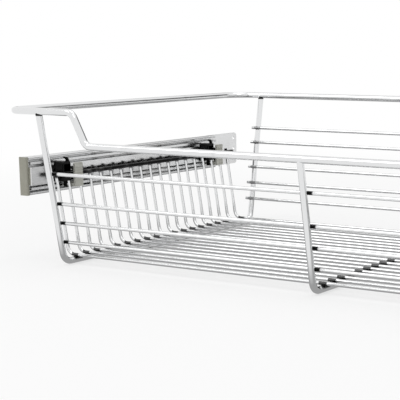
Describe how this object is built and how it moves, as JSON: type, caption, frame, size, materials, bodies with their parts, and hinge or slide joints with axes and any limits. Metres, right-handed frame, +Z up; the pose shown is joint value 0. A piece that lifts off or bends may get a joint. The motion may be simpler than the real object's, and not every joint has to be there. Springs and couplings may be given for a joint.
{
  "type": "pull-out wire basket with drawer slides",
  "caption": "Chrome wire cabinet basket with a dipped front rim, hung by hook clips with swing locks on telescopic ball slides.",
  "frame": {"origin": "under the middle of the basket, level with the underside of its ribs", "axes": "+X to the right along the basket's width, +Y to the back of the cabinet, +Z up; the basket pulls out along -Y"},
  "size_m": [0.61, 0.3624, 0.1448],
  "materials": {
    "chrome_wire": "bright chrome plate on steel wire",
    "slide_steel": "bright plated cold-rolled sheet steel",
    "bearing_steel": "polished balls and rivets",
    "cage_steel": "plain pressed strip",
    "black_plastic": "satin moulded black",
    "putty_plastic": "satin moulded putty grey"
  },
  "bodies": {
    "cabinet_sides": {"cabinet_member_left": "slide_steel", "cabinet_member_right": "slide_steel"},
    "basket": {"rim": "chrome_wire", "rib_left": "chrome_wire", "rib_middle": "chrome_wire", "rib_right": "chrome_wire", "front_wire_1": "chrome_wire", "front_wire_2": "chrome_wire", "front_wire_3": "chrome_wire", "front_wire_4": "chrome_wire", "back_wire_1": "chrome_wire", "back_wire_2": "chrome_wire", "back_wire_3": "chrome_wire", "back_wire_4": "chrome_wire", "back_wire_5": "chrome_wire", "cross_wire_01": "chrome_wire", "cross_wire_02": "chrome_wire", "cross_wire_03": "chrome_wire", "cross_wire_04": "chrome_wire", "cross_wire_05": "chrome_wire", "cross_wire_06": "chrome_wire", "cross_wire_07": "chrome_wire", "cross_wire_08": "chrome_wire", "cross_wire_09": "chrome_wire", "cross_wire_10": "chrome_wire", "cross_wire_11": "chrome_wire", "cross_wire_12": "chrome_wire", "cross_wire_13": "chrome_wire", "cross_wire_14": "chrome_wire", "cross_wire_15": "chrome_wire", "cross_wire_16": "chrome_wire", "cross_wire_17": "chrome_wire", "cross_wire_18": "chrome_wire", "cross_wire_19": "chrome_wire", "side_rail_left": "chrome_wire", "side_rail_right": "chrome_wire", "drawer_member_left": "slide_steel", "drawer_member_right": "slide_steel", "front_cap_left": "putty_plastic", "front_cap_right": "putty_plastic", "clip_front_left": "black_plastic", "clip_front_right": "black_plastic", "clip_rear_left": "black_plastic", "clip_rear_right": "black_plastic", "lock_pins": "bearing_steel", "clip_rivets": "bearing_steel"},
    "middle_left": {"middle_member_left": "slide_steel"},
    "outer_cage_left": {"outer_cage_left": "cage_steel", "outer_balls_left": "bearing_steel"},
    "inner_cage_left": {"inner_cage_left": "cage_steel", "inner_balls_left": "bearing_steel"},
    "middle_right": {"middle_member_right": "slide_steel"},
    "outer_cage_right": {"outer_cage_right": "cage_steel", "outer_balls_right": "bearing_steel"},
    "inner_cage_right": {"inner_cage_right": "cage_steel", "inner_balls_right": "bearing_steel"},
    "lock_front_left": {"lock_front_left": "putty_plastic"},
    "lock_front_right": {"lock_front_right": "putty_plastic"},
    "lock_rear_left": {"lock_rear_left": "putty_plastic"},
    "lock_rear_right": {"lock_rear_right": "putty_plastic"}
  },
  "joints": [
    {"name": "basket_pull", "type": "slide", "parent": "cabinet_sides", "child": "basket", "axis": [0, -1, 0], "range_m": [0, 0.29]},
    {"name": "middle_left_run", "type": "slide", "parent": "cabinet_sides", "child": "middle_left", "axis": [0, -1, 0], "range_m": [0, 0.145]},
    {"name": "outer_cage_left_run", "type": "slide", "parent": "cabinet_sides", "child": "outer_cage_left", "axis": [0, -1, 0], "range_m": [0, 0.0725]},
    {"name": "inner_cage_left_run", "type": "slide", "parent": "cabinet_sides", "child": "inner_cage_left", "axis": [0, -1, 0], "range_m": [0, 0.2175]},
    {"name": "middle_right_run", "type": "slide", "parent": "cabinet_sides", "child": "middle_right", "axis": [0, -1, 0], "range_m": [0, 0.145]},
    {"name": "outer_cage_right_run", "type": "slide", "parent": "cabinet_sides", "child": "outer_cage_right", "axis": [0, -1, 0], "range_m": [0, 0.0725]},
    {"name": "inner_cage_right_run", "type": "slide", "parent": "cabinet_sides", "child": "inner_cage_right", "axis": [0, -1, 0], "range_m": [0, 0.2175]},
    {"name": "lock_front_left_swing", "type": "hinge", "parent": "basket", "child": "lock_front_left", "pos_m": [-0.2905, -0.114, 0.0698], "axis": [0, 1, 0], "range_deg": [0, 70]},
    {"name": "lock_front_right_swing", "type": "hinge", "parent": "basket", "child": "lock_front_right", "pos_m": [0.2905, -0.114, 0.0698], "axis": [0, -1, 0], "range_deg": [0, 70]},
    {"name": "lock_rear_left_swing", "type": "hinge", "parent": "basket", "child": "lock_rear_left", "pos_m": [-0.2905, 0.114, 0.0698], "axis": [0, 1, 0], "range_deg": [0, 70]},
    {"name": "lock_rear_right_swing", "type": "hinge", "parent": "basket", "child": "lock_rear_right", "pos_m": [0.2905, 0.114, 0.0698], "axis": [0, -1, 0], "range_deg": [0, 70]}
  ],
  "couplings": [
    {"joint": "middle_left_run", "follows": "basket_pull", "ratio": 0.5},
    {"joint": "outer_cage_left_run", "follows": "basket_pull", "ratio": 0.25},
    {"joint": "inner_cage_left_run", "follows": "basket_pull", "ratio": 0.75},
    {"joint": "middle_right_run", "follows": "basket_pull", "ratio": 0.5},
    {"joint": "outer_cage_right_run", "follows": "basket_pull", "ratio": 0.25},
    {"joint": "inner_cage_right_run", "follows": "basket_pull", "ratio": 0.75}
  ]
}
